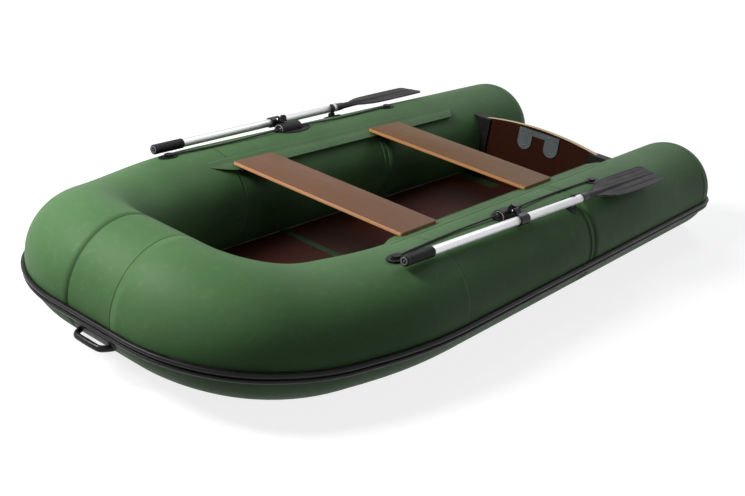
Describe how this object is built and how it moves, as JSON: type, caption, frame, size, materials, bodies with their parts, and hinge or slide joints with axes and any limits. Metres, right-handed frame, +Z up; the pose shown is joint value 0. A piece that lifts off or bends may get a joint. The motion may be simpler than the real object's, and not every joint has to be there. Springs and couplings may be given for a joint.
{
  "type": "inflatable rowing boat",
  "caption": "Inflatable rowing boat: a U of round green tubes with stern cones, a plywood floor and transom, sliding bench seats and stowed oars on swinging rowlocks.",
  "frame": {"origin": "centre of the whole boat's box, on the ground under its tubes", "axes": "+X towards the bow, +Y to port, +Z up"},
  "size_m": [2.9915, 1.3534, 0.4358],
  "materials": {
    "green_fabric": "coated satin",
    "black_rubber": "satin",
    "dark_plywood": "satin film",
    "seat_plywood": "satin film",
    "black_plastic": "moulded",
    "grey_plastic": "moulded",
    "oar_aluminium": "satin",
    "black_rope": "braided"
  },
  "bodies": {
    "hull": {"side_tube_front_port": "green_fabric", "side_tube_front_starboard": "green_fabric", "side_tube_rear_port": "green_fabric", "side_tube_rear_starboard": "green_fabric", "bow_tube_port": "green_fabric", "bow_tube_starboard": "green_fabric", "stern_cone_port": "green_fabric", "stern_cone_starboard": "green_fabric", "seat_flap_port": "green_fabric", "seat_flap_starboard": "green_fabric", "bow_centre_tube": "green_fabric", "bottom_skin": "green_fabric", "floor_hinge_strips": "green_fabric", "rub_strake": "black_rubber", "bow_handle": "black_rubber", "transom_holder_port": "black_rubber", "transom_holder_starboard": "black_rubber", "rowlock_base_port": "black_rubber", "rowlock_base_starboard": "black_rubber", "lifeline_eyelets_port": "black_rubber", "lifeline_eyelets_starboard": "black_rubber", "oar_holder_port": "black_rubber", "oar_holder_starboard": "black_rubber", "floorboard_bow": "dark_plywood", "floorboard_middle": "dark_plywood", "floorboard_stern": "dark_plywood", "transom_board": "dark_plywood", "air_valve_port": "black_plastic", "air_valve_starboard": "black_plastic", "drain_plug": "black_plastic", "motor_pad_inner": "grey_plastic", "motor_pad_outer": "grey_plastic", "lifeline_port": "black_rope", "lifeline_starboard": "black_rope"},
    "seat_bow": {"seat_board_bow": "seat_plywood", "seat_rails_bow": "black_plastic"},
    "seat_stern": {"seat_board_stern": "seat_plywood", "seat_rails_stern": "black_plastic"},
    "rowlock_port": {"rowlock_yoke_port": "black_plastic"},
    "oar_port": {"oar_collar_port": "black_plastic", "oar_shaft_port": "oar_aluminium", "oar_grip_port": "black_plastic", "oar_blade_port": "black_plastic"},
    "rowlock_starboard": {"rowlock_yoke_starboard": "black_plastic"},
    "oar_starboard": {"oar_collar_starboard": "black_plastic", "oar_shaft_starboard": "oar_aluminium", "oar_grip_starboard": "black_plastic", "oar_blade_starboard": "black_plastic"}
  },
  "joints": [
    {"name": "oar_swing_port", "type": "hinge", "parent": "hull", "child": "rowlock_port", "pos_m": [0.15, 0.518, 0.42], "axis": [0, -0.309, -0.9511], "range_deg": [0, 125]},
    {"name": "blade_turn_port", "type": "hinge", "parent": "rowlock_port", "child": "oar_port", "pos_m": [0.15047, 0.5294, 0.41629], "axis": [0.9992, -0.0394, 0.0058], "range_deg": [0, 91]},
    {"name": "oar_swing_starboard", "type": "hinge", "parent": "hull", "child": "rowlock_starboard", "pos_m": [0.15, -0.518, 0.42], "axis": [0, -0.309, 0.9511], "range_deg": [0, 125]},
    {"name": "blade_turn_starboard", "type": "hinge", "parent": "rowlock_starboard", "child": "oar_starboard", "pos_m": [0.15047, -0.5294, 0.41629], "axis": [-0.9992, -0.0394, -0.0058], "range_deg": [0, 91]},
    {"name": "seat_slide_bow", "type": "slide", "parent": "hull", "child": "seat_bow", "axis": [1, 0, 0], "range_m": [-0.2, 0.02]},
    {"name": "seat_slide_stern", "type": "slide", "parent": "hull", "child": "seat_stern", "axis": [1, 0, 0], "range_m": [-0.3, 0.15]}
  ],
  "couplings": [
    {"joint": "blade_turn_port", "follows": "oar_swing_port", "ratio": 0.72},
    {"joint": "blade_turn_starboard", "follows": "oar_swing_starboard", "ratio": 0.72}
  ]
}
